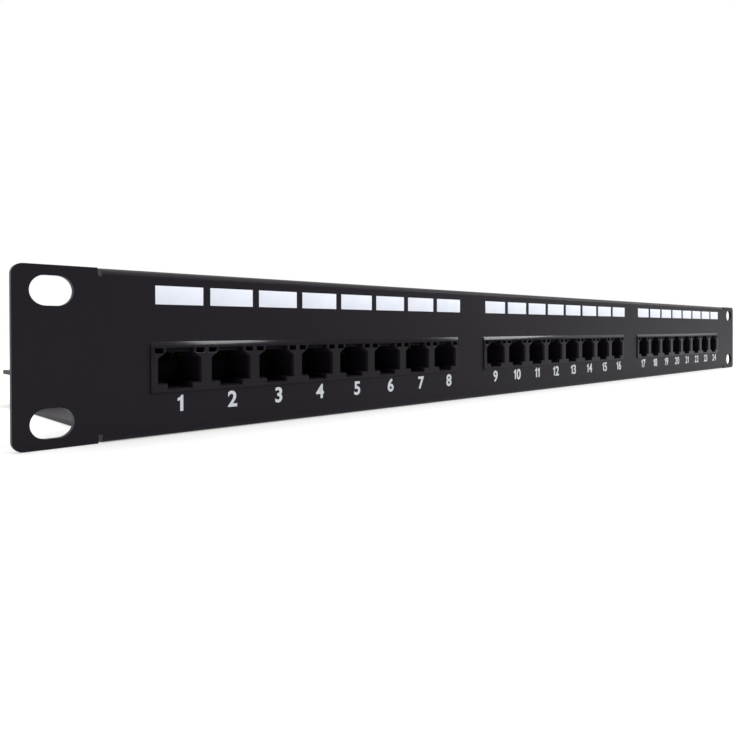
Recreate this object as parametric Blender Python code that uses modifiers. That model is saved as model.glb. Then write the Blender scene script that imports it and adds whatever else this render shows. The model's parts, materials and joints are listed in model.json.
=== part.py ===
"""One-unit, nineteen-inch patch panel: 24 modular jacks in three ganged blocks, punch-down blocks behind.

The object stands on its bottom fold. X runs along the panel, Y from its front to its back, Z up.
Every piece is drawn from the front face (y = 0), the panel's middle (x = 0) and its underside (z = 0),
and hangs from one empty, which stands so that the whole depth is centred on the origin.
"""

import math

import bmesh
import bpy
from mathutils import Matrix, Vector

MM = 0.001

# Clearance between two pieces that rest on each other or pass through each other.
GAP = 0.3 * MM

# Folded steel front
PANEL_WIDTH = 482.6 * MM
PANEL_HEIGHT = 44.0 * MM
SHEET = 1.5 * MM
BEND_RADIUS = 1.8 * MM
BEND_STEPS = 10
EAR_CORNER_RADIUS = 2.5 * MM
EAR_CORNER_STEPS = 8
EAR_LENGTH = 20.5 * MM
RELIEF_WIDTH = 1.0 * MM
RELIEF_PAST_BEND = 0.3 * MM
TOP_FOLD_DEPTH = 13.0 * MM
BOTTOM_FOLD_DEPTH = 18.0 * MM

# Rack slots in the ears
SLOT_FROM_END = 8.75 * MM
SLOT_FROM_EDGE = 6.125 * MM
SLOT_LENGTH = 10.0 * MM
SLOT_HEIGHT = 7.3 * MM
SLOT_END_STEPS = 16

# Ports and their ganged housings
GROUPS = 3
PORTS_PER_GROUP = 8
PORT_PITCH = 15.875 * MM
BETWEEN_GROUPS = 17.5 * MM
NOSE_BOTTOM = 11.75 * MM
NOSE_HEIGHT = 13.25 * MM
NOSE_PROUD = 0.5 * MM
NOSE_EDGE = 0.4 * MM
SHOULDER_DROP = 2.25 * MM
SHOULDER_RISE = 2.5 * MM
HOUSING_DEPTH = 16.5 * MM
PORT_WIDTH = 12.2 * MM
PORT_HEIGHT = 6.6 * MM
PORT_SILL = 2.25 * MM
PORT_BACK_WALL = 2.5 * MM
LATCH_WIDTH = 7.0 * MM
LATCH_DROP = 1.4 * MM
NECK_WIDTH = 7.8 * MM
NECK_SLOPE = 1.6 * MM
NECK_HEIGHT = 2.7 * MM
CHAMBER_SIDE = 0.4 * MM
CHAMBER_RISE = 1.0 * MM
CHAMBER_LIP = 2.1 * MM
CORNER_WINDOW_HEIGHT = 1.4 * MM
CORNER_WINDOW_RISE = 1.5 * MM
CORNER_WINDOW_DEPTH = 4.0 * MM
WINDOW_FROM_CHAMBER = 0.45 * MM
WINDOW_FROM_NEXT_PORT = 1.375 * MM

# Spring contacts: eight wires to a port, joined by a carrier bar on their hinge line
WIRES_PER_PORT = 8
WIRE_PITCH = 1.02 * MM
WIRE_WIDTH = 0.45 * MM
WIRE_THICKNESS = 0.4 * MM
WIRE_TIP_FROM_BACK = 2.6 * MM
CARRIER_REACH = 0.5 * MM
CONTACT_SLOPE = math.radians(-25.5)
HINGE_DEPTH = 2.6 * MM
HINGE_BELOW_CEILING = 1.1 * MM

# Circuit boards behind the jacks
BOARD_THICKNESS = 1.6 * MM
BOARD_BOTTOM = 4.5 * MM
BOARD_TOP_MARGIN = 3.5 * MM
BOARD_SPACING = 2.1 * MM
BOARD_HOLE_INSET = 3.0 * MM
STANDOFF_DIAMETER = 5.0 * MM
STANDOFF_ROOT = 0.5 * MM
STANDOFF_BORE_DEPTH = 9.0 * MM

# Punch-down blocks: two rows, each block serves two neighbouring ports of its row
BLOCK_ROWS = 2
PORTS_PER_BLOCK = 2
BLOCK_ROW_RISE = 19.0 * MM
BLOCK_HEIGHT = 12.4 * MM
BLOCK_BASE = 6.0 * MM
BLOCK_TOOTH = 10.0 * MM
BLOCK_SHORT_TOOTH = 8.0 * MM
BLOCK_SLOT = 0.9 * MM

# Rear cable tray: a tongue on the bottom fold, a step down to the floor, a lip and a ledge
TRAY_FRONT = 5.0 * MM
TRAY_END_INSET = 3.9 * MM
TRAY_STEP_BEHIND_FOLD = 1.0 * MM
TRAY_STEP_RUN = 3.0 * MM
TRAY_LIP = 99.0 * MM
TRAY_DEPTH = 113.0 * MM
TRAY_LEDGE_TOP = 13.4 * MM
TIE_SLOT = (5.0 * MM, 2.4 * MM)
TIE_SLOT_APART = 5.0 * MM
TIE_POINTS = 12

# Flats round every bore, standoff and screw
ROUND_STEPS = 12

# Screws, all M3 with a pan head
SCREW_DIAMETER = 3.0 * MM
SCREW_HEAD_DIAMETER = 5.5 * MM
SCREW_HEAD_HEIGHT = 2.0 * MM
SCREW_HEAD_CROWN = 0.7 * MM
BOARD_SCREW_LENGTH = 8.0 * MM
TRAY_SCREW_FROM_END = 5.0 * MM
TRAY_SCREW_FROM_BOARD = 5.3 * MM

# Sizes that follow from the ones above
FACE_Y = (NOSE_PROUD - TRAY_DEPTH) / 2
FOLD_HALF = PANEL_WIDTH / 2 - EAR_LENGTH
TRAY_HALF = FOLD_HALF - TRAY_END_INSET
HOUSING_WIDTH = PORTS_PER_GROUP * PORT_PITCH
GROUP_PITCH = HOUSING_WIDTH + BETWEEN_GROUPS
BOARD_WIDTH = GROUP_PITCH - BOARD_SPACING
BOARD_FRONT = HOUSING_DEPTH + GAP
BOARD_BACK = BOARD_FRONT + BOARD_THICKNESS
BOARD_TOP = PANEL_HEIGHT - BOARD_TOP_MARGIN
BOARD_MIDDLE = (BOARD_BOTTOM + BOARD_TOP) / 2
BOARD_HOLE_REACH = BOARD_WIDTH / 2 - BOARD_HOLE_INSET
PORT_BOTTOM = NOSE_BOTTOM + PORT_SILL
PORT_DEPTH = HOUSING_DEPTH - PORT_BACK_WALL
CHAMBER_HALF = NECK_WIDTH / 2 + CHAMBER_SIDE
CEILING = PORT_BOTTOM + PORT_HEIGHT + NECK_HEIGHT + CHAMBER_RISE
HINGE_HEIGHT = CEILING - HINGE_BELOW_CEILING
WIRE_LENGTH = (PORT_DEPTH - WIRE_TIP_FROM_BACK - HINGE_DEPTH) / math.cos(CONTACT_SLOPE)
TONGUE_BOTTOM = SHEET + GAP
TRAY_SCREW_DEPTH = BOARD_FRONT - TRAY_SCREW_FROM_BOARD
SCREW_HOLE = SCREW_DIAMETER + 2 * GAP


def clear_scene():
    for obj in list(bpy.data.objects):
        bpy.data.objects.remove(obj)


def make_collection(name):
    made = bpy.data.collections.new(name)
    bpy.context.scene.collection.children.link(made)
    return made


def make_material(name, color, roughness, metallic=0.0):
    made = bpy.data.materials.new(name)
    made.use_nodes = True
    shader = made.node_tree.nodes["Principled BSDF"]
    shader.inputs["Base Color"].default_value = (*color, 1.0)
    shader.inputs["Roughness"].default_value = roughness
    shader.inputs["Metallic"].default_value = metallic
    return made


clear_scene()
PARTS = make_collection("patch_panel")
CUTTERS = make_collection("cutters")

POWDER_COAT = make_material("black powder coat", (0.018, 0.016, 0.018), 0.45)
JACK_PLASTIC = make_material("black jack plastic", (0.012, 0.012, 0.013), 0.35)
GOLD = make_material("gold-plated wire", (0.83, 0.62, 0.25), 0.25, 1.0)
BOARD = make_material("circuit board", (0.02, 0.12, 0.05), 0.5)
BLOCK_PLASTIC = make_material("ivory block plastic", (0.72, 0.69, 0.60), 0.45)
ZINC = make_material("zinc plate", (0.62, 0.63, 0.65), 0.3, 1.0)

FACE = bpy.data.objects.new("face_origin", None)
FACE.location = (0.0, FACE_Y, 0.0)
PARTS.objects.link(FACE)


def place(obj, location=(0.0, 0.0, 0.0), rotation=(0.0, 0.0, 0.0)):
    obj.parent = FACE
    obj.location = location
    obj.rotation_euler = rotation
    return obj


def finish(bm, name, material, collection=None, facing=None):
    """Turn a bmesh into a named object. An open sheet faces the way given."""
    bmesh.ops.recalc_face_normals(bm, faces=bm.faces[:])
    if facing is not None:
        bm.faces.ensure_lookup_table()
        bm.normal_update()
        if bm.faces[0].normal.dot(facing) < 0:
            bmesh.ops.reverse_faces(bm, faces=bm.faces[:])
    mesh = bpy.data.meshes.new(name)
    bm.to_mesh(mesh)
    bm.free()
    if material:
        mesh.materials.append(material)
    obj = bpy.data.objects.new(name, mesh)
    (collection or PARTS).objects.link(obj)
    return place(obj)


def add_prism(bm, outline, axis, start, end):
    """Add a closed prism on the outline, given in the other two axes, from start to end along axis."""
    order = {"X": lambda a, b, c: (c, a, b), "Y": lambda a, b, c: (a, c, b), "Z": lambda a, b, c: (a, b, c)}
    at = order[axis]
    base = bm.faces.new([bm.verts.new(at(a, b, start)) for a, b in outline])
    grown = bmesh.ops.extrude_face_region(bm, geom=[base])
    far = [item for item in grown["geom"] if isinstance(item, bmesh.types.BMVert)]
    bmesh.ops.translate(bm, verts=far, vec=at(0.0, 0.0, end - start))


def add_box(bm, low, high):
    """Add a closed box between two opposite corners."""
    middle = (Vector(low) + Vector(high)) / 2
    size = Vector(high) - Vector(low)
    bmesh.ops.create_cube(bm, size=1.0, matrix=Matrix.Translation(middle) @ Matrix.Diagonal((*size, 1.0)))


def add_cylinder(bm, start, end, diameter):
    """Add a closed cylinder between the centres of its two ends."""
    start, end = Vector(start), Vector(end)
    turn = (end - start).to_track_quat("Z", "Y").to_matrix().to_4x4()
    bmesh.ops.create_cone(
        bm,
        cap_ends=True,
        segments=ROUND_STEPS,
        radius1=diameter / 2,
        radius2=diameter / 2,
        depth=(end - start).length,
        matrix=Matrix.Translation((start + end) / 2) @ turn,
    )


def arc(centre, radius, first, last, steps):
    """Points on an arc between two angles in degrees, both ends included."""
    points = []
    for step in range(steps + 1):
        angle = math.radians(first + (last - first) * step / steps)
        points.append((centre[0] + radius * math.cos(angle), centre[1] + radius * math.sin(angle)))
    return points


def slot_outline(x, z):
    radius = SLOT_HEIGHT / 2
    reach = SLOT_LENGTH / 2 - radius
    right = arc((x + reach, z), radius, -90, 90, SLOT_END_STEPS)
    return right + arc((x - reach, z), radius, 90, 270, SLOT_END_STEPS)


def make_cutter(name, bm):
    cutter = finish(bm, name, None, CUTTERS)
    cutter.hide_render = True
    cutter.display_type = "WIRE"
    return cutter


def boolean(obj, other, operation="DIFFERENCE"):
    step = obj.modifiers.new(other.name, "BOOLEAN")
    step.operation = operation
    step.object = other
    step.solver = "EXACT"


def solidify(obj):
    """Give an open sheet its thickness, on the side away from its facing."""
    step = obj.modifiers.new("sheet thickness", "SOLIDIFY")
    step.thickness = SHEET
    step.offset = -1.0
    step.use_even_offset = True


def bend(bm, edges, centre, angle):
    """Carry edges round a fold about a line along X, and return the edges at its end."""
    spun = bmesh.ops.spin(bm, geom=edges, cent=centre, axis=(1.0, 0.0, 0.0), angle=angle, steps=BEND_STEPS)
    return [item for item in spun["geom_last"] if isinstance(item, bmesh.types.BMEdge)]


def run(bm, edges, vector):
    """Carry edges straight on, and return the edges at the end."""
    grown = bmesh.ops.extrude_edge_only(bm, edges=edges)["geom"]
    bmesh.ops.translate(bm, verts=[v for v in grown if isinstance(v, bmesh.types.BMVert)], vec=vector)
    return [item for item in grown if isinstance(item, bmesh.types.BMEdge) and item.is_boundary
            and all(vert in grown for vert in item.verts)]


def group_middle(group):
    return (group - (GROUPS - 1) / 2) * GROUP_PITCH


def port_offset(port):
    """A port's place from the middle of its group."""
    return (port - (PORTS_PER_GROUP - 1) / 2) * PORT_PITCH


def board_hole_places():
    return [group_middle(group) + side * BOARD_HOLE_REACH for group in range(GROUPS) for side in (-1, 1)]


def tray_screw_places():
    """One screw near each end of the tray, and one between each two groups."""
    end = TRAY_HALF - TRAY_SCREW_FROM_END
    between = [(number - (GROUPS - 2) / 2) * GROUP_PITCH for number in range(GROUPS - 1)]
    return [-end] + between + [end]


def face_outline():
    """The flat front, with both ears and the four bend reliefs, anticlockwise from the bottom fold."""
    end = PANEL_WIDTH / 2
    ear = FOLD_HALF + RELIEF_WIDTH
    corner = EAR_CORNER_RADIUS
    notch = BEND_RADIUS + RELIEF_PAST_BEND
    right = [(FOLD_HALF, BEND_RADIUS), (FOLD_HALF, notch), (ear, notch), (ear, 0.0)]
    right += arc((end - corner, corner), corner, -90, 0, EAR_CORNER_STEPS)
    right += arc((end - corner, PANEL_HEIGHT - corner), corner, 0, 90, EAR_CORNER_STEPS)
    top = PANEL_HEIGHT
    right += [(ear, top), (ear, top - notch), (FOLD_HALF, top - notch), (FOLD_HALF, top - BEND_RADIUS)]
    return right + [(-x, z) for x, z in reversed(right)]


def fold_edge(bm, height):
    """The edge of the flat front where a fold starts."""
    for edge in bm.edges:
        ends = [(abs(vert.co.x) - FOLD_HALF, vert.co.z - height) for vert in edge.verts]
        if all(abs(x) < SHEET / 10 and abs(z) < SHEET / 10 for x, z in ends):
            return [edge]
    return []


def build_front_panel():
    bm = bmesh.new()
    bm.faces.new([bm.verts.new((x, 0.0, z)) for x, z in face_outline()])
    quarter = math.radians(90)
    top = PANEL_HEIGHT - BEND_RADIUS
    upper = bend(bm, fold_edge(bm, top), (0.0, BEND_RADIUS, top), -quarter)
    run(bm, upper, (0.0, TOP_FOLD_DEPTH - BEND_RADIUS, 0.0))
    lower = bend(bm, fold_edge(bm, BEND_RADIUS), (0.0, BEND_RADIUS, BEND_RADIUS), quarter)
    run(bm, lower, (0.0, BOTTOM_FOLD_DEPTH - BEND_RADIUS, 0.0))
    panel = finish(bm, "front_panel", POWDER_COAT, facing=(0.0, -1.0, 0.0))
    solidify(panel)

    openings = bmesh.new()
    for side in (-1, 1):
        for height in (SLOT_FROM_EDGE, PANEL_HEIGHT - SLOT_FROM_EDGE):
            outline = slot_outline(side * (PANEL_WIDTH / 2 - SLOT_FROM_END), height)
            add_prism(openings, outline, "Y", -SHEET, 2 * SHEET)
    window = HOUSING_WIDTH / 2 + GAP
    for group in range(GROUPS):
        low = (group_middle(group) - window, -SHEET, NOSE_BOTTOM - GAP)
        high = (group_middle(group) + window, 2 * SHEET, NOSE_BOTTOM + NOSE_HEIGHT + GAP)
        add_box(openings, low, high)
    for x in tray_screw_places():
        add_cylinder(openings, (x, TRAY_SCREW_DEPTH, -SHEET), (x, TRAY_SCREW_DEPTH, 2 * SHEET), SCREW_HOLE)
    boolean(panel, make_cutter("panel openings", openings))

    posts = bmesh.new()
    bores = bmesh.new()
    post_end = BOARD_FRONT - GAP
    for x in board_hole_places():
        root = (x, SHEET - STANDOFF_ROOT, BOARD_MIDDLE)
        add_cylinder(posts, root, (x, post_end, BOARD_MIDDLE), STANDOFF_DIAMETER)
        bore_end = (x, post_end - STANDOFF_BORE_DEPTH, BOARD_MIDDLE)
        add_cylinder(bores, bore_end, (x, post_end + SHEET, BOARD_MIDDLE), SCREW_HOLE)
    boolean(panel, make_cutter("pressed-in standoffs", posts), "UNION")
    boolean(panel, make_cutter("standoff bores", bores))


def build_cable_tray():
    """Tongue, step, floor, upright lip and a ledge that the cables are tied to, folded from one sheet."""
    bm = bmesh.new()
    ends = [bm.verts.new((side * TRAY_HALF, TRAY_FRONT, TONGUE_BOTTOM)) for side in (-1, 1)]
    quarter = math.radians(90)
    inner = BEND_RADIUS - SHEET
    ledge_bottom = TRAY_LEDGE_TOP - SHEET
    step_front = BOTTOM_FOLD_DEPTH + TRAY_STEP_BEHIND_FOLD
    floor_front = step_front + TRAY_STEP_RUN
    edge = run(bm, [bm.edges.new(ends)], (0.0, step_front - TRAY_FRONT, 0.0))
    edge = run(bm, edge, (0.0, TRAY_STEP_RUN, -TONGUE_BOTTOM))
    edge = run(bm, edge, (0.0, TRAY_LIP - BEND_RADIUS - floor_front, 0.0))
    edge = bend(bm, edge, (0.0, TRAY_LIP - BEND_RADIUS, BEND_RADIUS), quarter)
    edge = run(bm, edge, (0.0, 0.0, ledge_bottom - inner - BEND_RADIUS))
    edge = bend(bm, edge, (0.0, TRAY_LIP + inner, ledge_bottom - inner), -quarter)
    run(bm, edge, (0.0, TRAY_DEPTH - TRAY_LIP - inner, 0.0))
    tray = finish(bm, "cable_tray", POWDER_COAT, facing=(0.0, 0.0, -1.0))
    solidify(tray)

    holes = bmesh.new()
    for x in tray_screw_places():
        below = (x, TRAY_SCREW_DEPTH, TONGUE_BOTTOM - SHEET)
        above = (x, TRAY_SCREW_DEPTH, TONGUE_BOTTOM + 2 * SHEET)
        add_cylinder(holes, below, above, SCREW_HOLE)
    pitch = 2 * TRAY_HALF / TIE_POINTS
    slot_depth = (TRAY_LIP + inner + TRAY_DEPTH) / 2
    for point in range(TIE_POINTS):
        middle = (point - (TIE_POINTS - 1) / 2) * pitch
        for side in (-1, 1):
            x = middle + side * (TIE_SLOT_APART + TIE_SLOT[0]) / 2
            low = (x - TIE_SLOT[0] / 2, slot_depth - TIE_SLOT[1] / 2, ledge_bottom - SHEET)
            high = (x + TIE_SLOT[0] / 2, slot_depth + TIE_SLOT[1] / 2, TRAY_LEDGE_TOP + SHEET)
            add_box(holes, low, high)
    boolean(tray, make_cutter("tray holes", holes))


def port_outline():
    """Front view of one port: plug space, latch step below, sloping shoulders and contact neck above."""
    half, latch, neck = PORT_WIDTH / 2, LATCH_WIDTH / 2, NECK_WIDTH / 2
    floor = PORT_BOTTOM
    shoulder = floor + PORT_HEIGHT
    right = [(latch, floor - LATCH_DROP), (latch, floor), (half, floor), (half, shoulder)]
    right += [(neck, shoulder + NECK_SLOPE), (neck, shoulder + NECK_HEIGHT)]
    return right + [(-x, z) for x, z in reversed(right)]


def make_housing_mesh():
    """Eight ports in one moulding: a nose that fills the panel's window and a larger body behind it."""
    bm = bmesh.new()
    shoulder_front = SHEET + GAP
    body_bottom = NOSE_BOTTOM - SHOULDER_DROP
    body_top = NOSE_BOTTOM + NOSE_HEIGHT + SHOULDER_RISE
    nose_top = NOSE_BOTTOM + NOSE_HEIGHT
    profile = [
        (-NOSE_PROUD, NOSE_BOTTOM + NOSE_EDGE),
        (NOSE_EDGE - NOSE_PROUD, NOSE_BOTTOM),
        (shoulder_front, NOSE_BOTTOM),
        (shoulder_front, body_bottom),
        (HOUSING_DEPTH, body_bottom),
        (HOUSING_DEPTH, body_top),
        (shoulder_front, body_top),
        (shoulder_front, nose_top),
        (NOSE_EDGE - NOSE_PROUD, nose_top),
        (-NOSE_PROUD, nose_top - NOSE_EDGE),
    ]
    add_prism(bm, profile, "X", -HOUSING_WIDTH / 2, HOUSING_WIDTH / 2)
    housing = finish(bm, "jack_housing", JACK_PLASTIC)

    pockets = bmesh.new()
    chambers = bmesh.new()
    neck_top = PORT_BOTTOM + PORT_HEIGHT + NECK_HEIGHT
    chamber_floor = neck_top - NECK_HEIGHT - NECK_SLOPE
    window_floor = PORT_BOTTOM + PORT_HEIGHT + CORNER_WINDOW_RISE
    window_top = window_floor + CORNER_WINDOW_HEIGHT
    window_reach = (PORT_PITCH - WINDOW_FROM_NEXT_PORT) / 2
    for port in range(PORTS_PER_GROUP):
        middle = port_offset(port)
        outline = [(middle + x, z) for x, z in port_outline()]
        add_prism(pockets, outline, "Y", -2 * NOSE_PROUD, PORT_DEPTH)
        low = (middle - CHAMBER_HALF, CHAMBER_LIP - NOSE_PROUD, chamber_floor)
        add_box(chambers, low, (middle + CHAMBER_HALF, PORT_DEPTH - NOSE_PROUD, CEILING))
        for side in (-1, 1):
            ends = sorted((middle + side * (CHAMBER_HALF + WINDOW_FROM_CHAMBER), middle + side * window_reach))
            low = (ends[0], -2 * NOSE_PROUD, window_floor)
            add_box(pockets, low, (ends[1], CORNER_WINDOW_DEPTH, window_top))
    boolean(housing, make_cutter("port pockets", pockets))
    boolean(housing, make_cutter("contact chambers", chambers))
    return housing


def build_jack_housings():
    """The first housing is modelled, and the others are copies of it at their groups."""
    first = make_housing_mesh()
    first.name = "jack_housing_1"
    place(first, (group_middle(0), 0.0, 0.0))
    for step in first.modifiers:
        step.object.parent = first
        step.object.location = (0.0, 0.0, 0.0)
    bpy.context.view_layer.update()
    evaluated = first.evaluated_get(bpy.context.evaluated_depsgraph_get())
    shared = bpy.data.meshes.new_from_object(evaluated)
    for group in range(1, GROUPS):
        copy = bpy.data.objects.new(f"jack_housing_{group + 1}", shared)
        PARTS.objects.link(copy)
        place(copy, (group_middle(group), 0.0, 0.0))


def comb_outline():
    """Eight wires side by side, running back from the carrier bar on the hinge line."""
    row = WIRE_PITCH * (WIRES_PER_PORT - 1)
    half = row / 2 + WIRE_WIDTH / 2
    points = [(-half, -CARRIER_REACH), (half, -CARRIER_REACH)]
    for wire in reversed(range(WIRES_PER_PORT)):
        middle = wire * WIRE_PITCH - row / 2
        right, left = middle + WIRE_WIDTH / 2, middle - WIRE_WIDTH / 2
        if wire < WIRES_PER_PORT - 1:
            points.append((right, CARRIER_REACH))
        points += [(right, WIRE_LENGTH), (left, WIRE_LENGTH)]
        if wire > 0:
            points.append((left, CARRIER_REACH))
    return points


def build_contacts():
    """One comb of wires to a port, its origin on the hinge line, sloping down into the port."""
    bm = bmesh.new()
    add_prism(bm, comb_outline(), "Z", -WIRE_THICKNESS / 2, WIRE_THICKNESS / 2)
    first = finish(bm, "contacts_01", GOLD)
    for number in range(GROUPS * PORTS_PER_GROUP):
        group, port = divmod(number, PORTS_PER_GROUP)
        comb = first
        if number:
            comb = bpy.data.objects.new(f"contacts_{number + 1:02d}", first.data)
            PARTS.objects.link(comb)
        hinge = (group_middle(group) + port_offset(port), HINGE_DEPTH, HINGE_HEIGHT)
        place(comb, hinge, (CONTACT_SLOPE, 0.0, 0.0))


def build_boards():
    half = BOARD_WIDTH / 2
    for group in range(GROUPS):
        bm = bmesh.new()
        add_box(bm, (-half, BOARD_FRONT, BOARD_BOTTOM), (half, BOARD_BACK, BOARD_TOP))
        board = finish(bm, f"circuit_board_{group + 1}", BOARD)
        place(board, (group_middle(group), 0.0, 0.0))
        holes = bmesh.new()
        for x in (-BOARD_HOLE_REACH, BOARD_HOLE_REACH):
            front = (x, BOARD_FRONT - SHEET, BOARD_MIDDLE)
            add_cylinder(holes, front, (x, BOARD_BACK + SHEET, BOARD_MIDDLE), SCREW_HOLE)
        cutter = make_cutter(f"board holes {group + 1}", holes)
        place(cutter, (group_middle(group), 0.0, 0.0))
        boolean(board, cutter)


def block_outline():
    """A block from above: a base and its teeth, tall between the pairs and short within a pair."""
    width = BLOCK_ROWS * PORTS_PER_BLOCK * PORT_PITCH - GAP
    slots = PORTS_PER_BLOCK * WIRES_PER_PORT
    pitch = width / slots
    points = [(-width / 2, 0.0), (width / 2, 0.0), (width / 2, BLOCK_BASE + BLOCK_TOOTH)]
    for slot in reversed(range(slots)):
        middle = (slot + 0.5) * pitch - width / 2
        left_tooth = BLOCK_SHORT_TOOTH if slot % 2 else BLOCK_TOOTH
        right_tooth = BLOCK_TOOTH if slot % 2 else BLOCK_SHORT_TOOTH
        points.append((middle + BLOCK_SLOT / 2, BLOCK_BASE + right_tooth))
        points.append((middle + BLOCK_SLOT / 2, BLOCK_BASE))
        points.append((middle - BLOCK_SLOT / 2, BLOCK_BASE))
        points.append((middle - BLOCK_SLOT / 2, BLOCK_BASE + left_tooth))
    points.append((-width / 2, BLOCK_BASE + BLOCK_TOOTH))
    return points


def build_punch_down_blocks():
    bm = bmesh.new()
    add_prism(bm, block_outline(), "Z", -BLOCK_HEIGHT / 2, BLOCK_HEIGHT / 2)
    first = finish(bm, "idc_block_01", BLOCK_PLASTIC)
    per_row = PORTS_PER_GROUP // (BLOCK_ROWS * PORTS_PER_BLOCK)
    width = BLOCK_ROWS * PORTS_PER_BLOCK * PORT_PITCH
    number = 0
    for group in range(GROUPS):
        for row in range(BLOCK_ROWS):
            for column in range(per_row):
                number += 1
                block = first
                if number > 1:
                    block = bpy.data.objects.new(f"idc_block_{number:02d}", first.data)
                    PARTS.objects.link(block)
                x = group_middle(group) + (column - (per_row - 1) / 2) * width
                z = BOARD_MIDDLE + (row - (BLOCK_ROWS - 1) / 2) * BLOCK_ROW_RISE
                place(block, (x, BOARD_BACK + GAP, z))


def make_screw(name, length):
    """A pan-head screw turned about Z, with its seat at the origin and its shank below."""
    head, shank = SCREW_HEAD_DIAMETER / 2, SCREW_DIAMETER / 2
    profile = [
        (0.0, SCREW_HEAD_HEIGHT),
        (head - SCREW_HEAD_CROWN, SCREW_HEAD_HEIGHT),
        (head, SCREW_HEAD_HEIGHT - SCREW_HEAD_CROWN),
        (head, 0.0),
        (shank, 0.0),
        (shank, -length),
        (0.0, -length),
    ]
    mesh = bpy.data.meshes.new(name)
    points = [(x, 0.0, z) for x, z in profile]
    mesh.from_pydata(points, [(n, n + 1) for n in range(len(points) - 1)], [])
    mesh.materials.append(ZINC)
    obj = bpy.data.objects.new(name, mesh)
    PARTS.objects.link(obj)
    turn = obj.modifiers.new("turn", "SCREW")
    turn.steps = ROUND_STEPS
    turn.render_steps = ROUND_STEPS
    turn.use_merge_vertices = True
    turn.merge_threshold = 0.01 * MM
    return obj


def build_screws():
    """Board screws point forward into the standoffs, and tray screws point down into the bottom fold."""
    for number, x in enumerate(board_hole_places(), 1):
        screw = make_screw(f"board_screw_{number}", BOARD_SCREW_LENGTH)
        place(screw, (x, BOARD_BACK + GAP, BOARD_MIDDLE), (math.radians(-90), 0.0, 0.0))
    seat = TONGUE_BOTTOM + SHEET + GAP
    for number, x in enumerate(tray_screw_places(), 1):
        screw = make_screw(f"tray_screw_{number}", seat - GAP)
        place(screw, (x, TRAY_SCREW_DEPTH, seat))


build_front_panel()
build_cable_tray()
build_jack_housings()
build_contacts()
build_boards()
build_punch_down_blocks()
build_screws()
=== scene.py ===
"""The looks of a one-unit patch panel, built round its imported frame.

X runs along the panel, Y from its front to its back, Z up. Depths are measured back from the front face.
"""

import json
import math

import bmesh
import bpy
from mathutils import Matrix, Vector


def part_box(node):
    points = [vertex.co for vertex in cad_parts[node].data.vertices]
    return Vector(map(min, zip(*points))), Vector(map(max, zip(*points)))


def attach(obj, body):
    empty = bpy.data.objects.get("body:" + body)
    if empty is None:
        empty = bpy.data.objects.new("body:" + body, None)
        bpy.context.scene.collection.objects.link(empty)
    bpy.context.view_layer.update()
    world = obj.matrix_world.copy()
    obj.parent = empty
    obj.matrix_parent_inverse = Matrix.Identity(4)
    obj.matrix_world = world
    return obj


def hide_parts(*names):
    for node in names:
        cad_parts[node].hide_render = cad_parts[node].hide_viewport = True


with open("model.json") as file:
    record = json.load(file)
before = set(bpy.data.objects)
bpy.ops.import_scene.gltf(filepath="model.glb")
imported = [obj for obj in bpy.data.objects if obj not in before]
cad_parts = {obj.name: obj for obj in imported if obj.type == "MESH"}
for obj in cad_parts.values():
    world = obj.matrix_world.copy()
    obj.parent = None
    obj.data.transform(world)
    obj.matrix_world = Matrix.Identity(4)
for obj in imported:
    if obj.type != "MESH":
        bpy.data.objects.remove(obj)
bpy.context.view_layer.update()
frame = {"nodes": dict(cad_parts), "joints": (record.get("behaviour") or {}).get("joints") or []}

MM = 0.001
WELD = 0.0002 * MM  # corners nearer than this are one

# Where things are in the frame
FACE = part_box("front_panel")[0].y
GROUPS = 3
PORTS_PER_GROUP = 8
HOUSINGS = [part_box(f"jack_housing_{group + 1}") for group in range(GROUPS)]
HOUSING_WIDTH = HOUSINGS[0][1].x - HOUSINGS[0][0].x
PORT_PITCH = HOUSING_WIDTH / PORTS_PER_GROUP
HINGES = {joint["child"]: Vector(joint["pos_m"]) for joint in frame["joints"]}

# How far the edges of the folded sheets and the sawn boards are rounded
PANEL_EDGE = 0.09 * MM
TRAY_EDGE = 0.15 * MM
BOARD_EDGE = 0.1 * MM

# Jack housings: the nose shows in the panel's window, and the body behind is larger
NOSE_BOTTOM = 11.47 * MM
NOSE_TOP = 25.28 * MM
NOSE_PROUD = 0.5 * MM
NOSE_SLOPE_BOTTOM = 24.0 * MM
NOSE_BOTTOM_RADIUS = 0.4 * MM
NOSE_SIDE = 0.28 * MM
SHOULDER_DEPTH = 1.8 * MM
MOULDING_EDGE = 0.12 * MM
MOULDING_ANGLE = 18  # degrees; the slope meets the front at about 21, so that edge is rounded too
MOULDING_SHARP = 15  # degrees; gentler edges than this are shaded smooth

# Ports
PORT_HALF = 6.1 * MM
PORT_BOTTOM = 14.0 * MM
SHOULDER = 20.6 * MM
LATCH_HALF = 3.5 * MM
LATCH_BOTTOM = 12.6 * MM
NECK_HALF = 3.9 * MM
NECK_SHOULDER = 22.2 * MM
NECK_TOP = 23.3 * MM
PORT_DEPTH = 14.0 * MM
LEAD_IN = 0.28 * MM
LEAD_IN_DEPTH = 0.9 * MM
CHAMBER_HALF = 4.3 * MM
CHAMBER_TOP = 24.3 * MM
CHAMBER_FRONT = 1.6 * MM
CHAMBER_BACK = 13.5 * MM
WINDOW_X = (4.75 * MM, 7.25 * MM)
WINDOW_Z = (22.1 * MM, 23.5 * MM)
WINDOW_DEPTH = 4.0 * MM

# Spring contacts
WIRES = 8
WIRE_PITCH = 1.02 * MM
WIRE_RADIUS = 0.2 * MM
WIRE_LENGTH = 9.6 * MM
WIRE_BOW = 0.28 * MM
WIRE_POINTS = 9
CONTACT_SLOPE = math.radians(25.5)
CARRIER = (8.0 * MM, 1.0 * MM, 1.4 * MM)

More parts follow.
